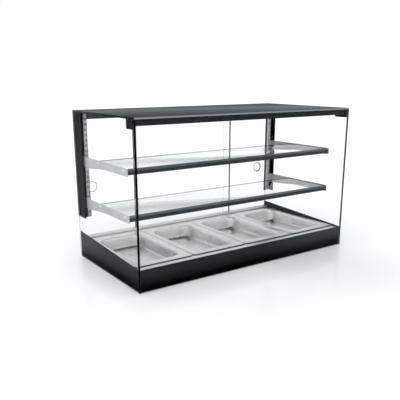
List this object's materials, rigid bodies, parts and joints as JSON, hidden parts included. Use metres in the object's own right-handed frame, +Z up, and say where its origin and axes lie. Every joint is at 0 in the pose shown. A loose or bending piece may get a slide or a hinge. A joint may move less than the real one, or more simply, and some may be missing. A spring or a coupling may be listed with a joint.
{
  "type": "hot food display case",
  "caption": "Countertop glass case on a heated base, with lift-out food pans, glass shelves on side brackets and sliding glass doors at the back.",
  "frame": {"origin": "on the counter, at the middle of the footprint", "axes": "+X to the right seen from the customer side, -Y towards the customer, +Z up"},
  "size_m": [1.33, 0.665, 0.786],
  "materials": {
    "clear_glass": "clear toughened glass, polished edges",
    "smoked_glass": "dark smoked glass, glossy, polished edge",
    "anthracite_paint": "satin anthracite powder coat",
    "anthracite_aluminium": "aluminium section, satin anthracite powder coat",
    "black_aluminium": "aluminium section, satin black powder coat",
    "black_sealant": "smooth black bonded edge strip",
    "stainless_steel": "bright brushed stainless steel",
    "galvanised_steel": "plain galvanised sheet",
    "aluminium": "satin anodised aluminium",
    "rubber": "black rubber",
    "black_plastic": "matt black moulding",
    "diffuser": "frosted light diffuser",
    "insulation": "pressed mineral fibre board",
    "pale_plastic": "pale moulded plastic",
    "red_plastic": "translucent red rocker cap",
    "green_plastic": "translucent green rocker cap"
  },
  "bodies": {
    "case": {"base_tray": "anthracite_paint", "cable_gland": "black_plastic", "corner_clamp_left": "black_aluminium", "corner_clamp_right": "black_aluminium", "corner_cover_left": "black_aluminium", "corner_cover_right": "black_aluminium", "corner_seal_left": "black_sealant", "corner_seal_right": "black_sealant", "deck": "stainless_steel", "door_track_bottom": "aluminium", "door_track_top": "black_aluminium", "foot_front_left": "rubber", "foot_front_right": "rubber", "foot_rear_left": "rubber", "foot_rear_right": "rubber", "front_glass": "clear_glass", "front_top_rail": "black_aluminium", "heating_element": "galvanised_steel", "insulation_board": "insulation", "led_bar_lower": "diffuser", "led_bar_top": "diffuser", "led_bar_upper": "diffuser", "led_driver": "black_plastic", "rear_panel": "galvanised_steel", "shelf_bracket_lower_left": "aluminium", "shelf_bracket_lower_right": "aluminium", "shelf_bracket_upper_left": "aluminium", "shelf_bracket_upper_right": "aluminium", "shelf_glass_lower": "clear_glass", "shelf_glass_upper": "clear_glass", "shelf_profile_lower": "anthracite_aluminium", "shelf_profile_upper": "anthracite_aluminium", "side_glass_left": "clear_glass", "side_glass_right": "clear_glass", "side_panel_left": "anthracite_paint", "side_panel_right": "anthracite_paint", "switch_frame": "black_plastic", "temperature_probe": "stainless_steel", "terminal_block": "pale_plastic", "thermostat": "black_plastic", "top_glass": "smoked_glass", "upright_left": "aluminium", "upright_right": "aluminium", "well": "stainless_steel"},
    "door_left": {"door_glass_left": "clear_glass", "door_grip_left": "aluminium"},
    "door_right": {"door_glass_right": "clear_glass", "door_grip_right": "aluminium"},
    "door_centre": {"door_glass_centre": "clear_glass", "door_edge_left": "anthracite_aluminium", "door_edge_right": "anthracite_aluminium"},
    "pan_a": {"pan_1": "stainless_steel"},
    "pan_b": {"pan_2": "stainless_steel"},
    "pan_c": {"pan_3": "stainless_steel"},
    "pan_d": {"pan_4": "stainless_steel"},
    "heat_rocker": {"rocker_heat": "red_plastic"},
    "light_rocker": {"rocker_light": "green_plastic"},
    "set_button": {"button_set": "pale_plastic"},
    "down_button": {"button_down": "pale_plastic"},
    "up_button": {"button_up": "pale_plastic"}
  },
  "joints": [
    {"name": "door_left_slide", "type": "slide", "parent": "case", "child": "door_left", "axis": [1, 0, 0], "range_m": [0, 0.299]},
    {"name": "door_right_slide", "type": "slide", "parent": "case", "child": "door_right", "axis": [-1, 0, 0], "range_m": [0, 0.299]},
    {"name": "door_centre_slide", "type": "slide", "parent": "case", "child": "door_centre", "axis": [1, 0, 0], "range_m": [-0.312, 0.312]},
    {"name": "pan_a_lift", "type": "slide", "parent": "case", "child": "pan_a", "axis": [0, 0, 1], "range_m": [0, 0.11]},
    {"name": "pan_b_lift", "type": "slide", "parent": "case", "child": "pan_b", "axis": [0, 0, 1], "range_m": [0, 0.11]},
    {"name": "pan_c_lift", "type": "slide", "parent": "case", "child": "pan_c", "axis": [0, 0, 1], "range_m": [0, 0.11]},
    {"name": "pan_d_lift", "type": "slide", "parent": "case", "child": "pan_d", "axis": [0, 0, 1], "range_m": [0, 0.11]},
    {"name": "heat_switch", "type": "hinge", "parent": "case", "child": "heat_rocker", "pos_m": [0.11, 0.3145, 0.055], "axis": [1, 0, 0], "range_deg": [0, 14]},
    {"name": "light_switch", "type": "hinge", "parent": "case", "child": "light_rocker", "pos_m": [0.138, 0.3145, 0.055], "axis": [1, 0, 0], "range_deg": [0, 14]},
    {"name": "set_press", "type": "slide", "parent": "case", "child": "set_button", "axis": [0, -1, 0], "range_m": [0, 0.001], "stiffness_N_per_m": 400},
    {"name": "down_press", "type": "slide", "parent": "case", "child": "down_button", "axis": [0, -1, 0], "range_m": [0, 0.001], "stiffness_N_per_m": 400},
    {"name": "up_press", "type": "slide", "parent": "case", "child": "up_button", "axis": [0, -1, 0], "range_m": [0, 0.001], "stiffness_N_per_m": 400}
  ]
}
